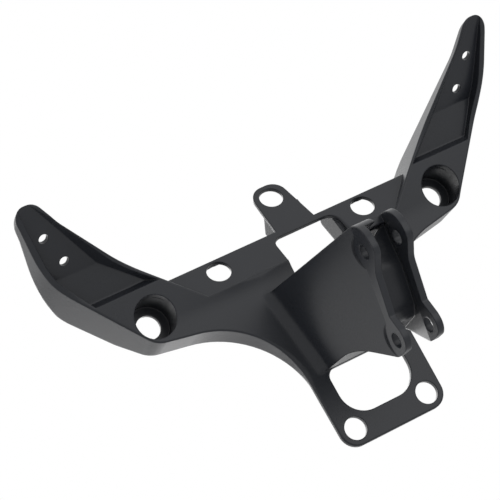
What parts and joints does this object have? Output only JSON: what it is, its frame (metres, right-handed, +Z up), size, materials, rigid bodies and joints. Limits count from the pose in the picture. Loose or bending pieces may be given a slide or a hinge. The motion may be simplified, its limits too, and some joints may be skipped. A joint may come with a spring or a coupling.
{
  "type": "headlight bracket",
  "caption": "Cast motorbike headlight bracket: a forked stem bolts to the frame, a face plate with a window and foot holes, a crossbar with a tongue, and two swept arms.",
  "frame": {"origin": "middle of the upper fork bolt's axis, halfway between the ears", "axes": "+X across the bike along the fork bolts, +Y forward from the fork to the headlight face, +Z up"},
  "size_m": [0.4364, 0.193, 0.2672],
  "materials": {
    "casting": "satin black powder coat on cast aluminium"
  },
  "bodies": {
    "root": {"headlight_bracket": "casting"}
  },
  "joints": []
}
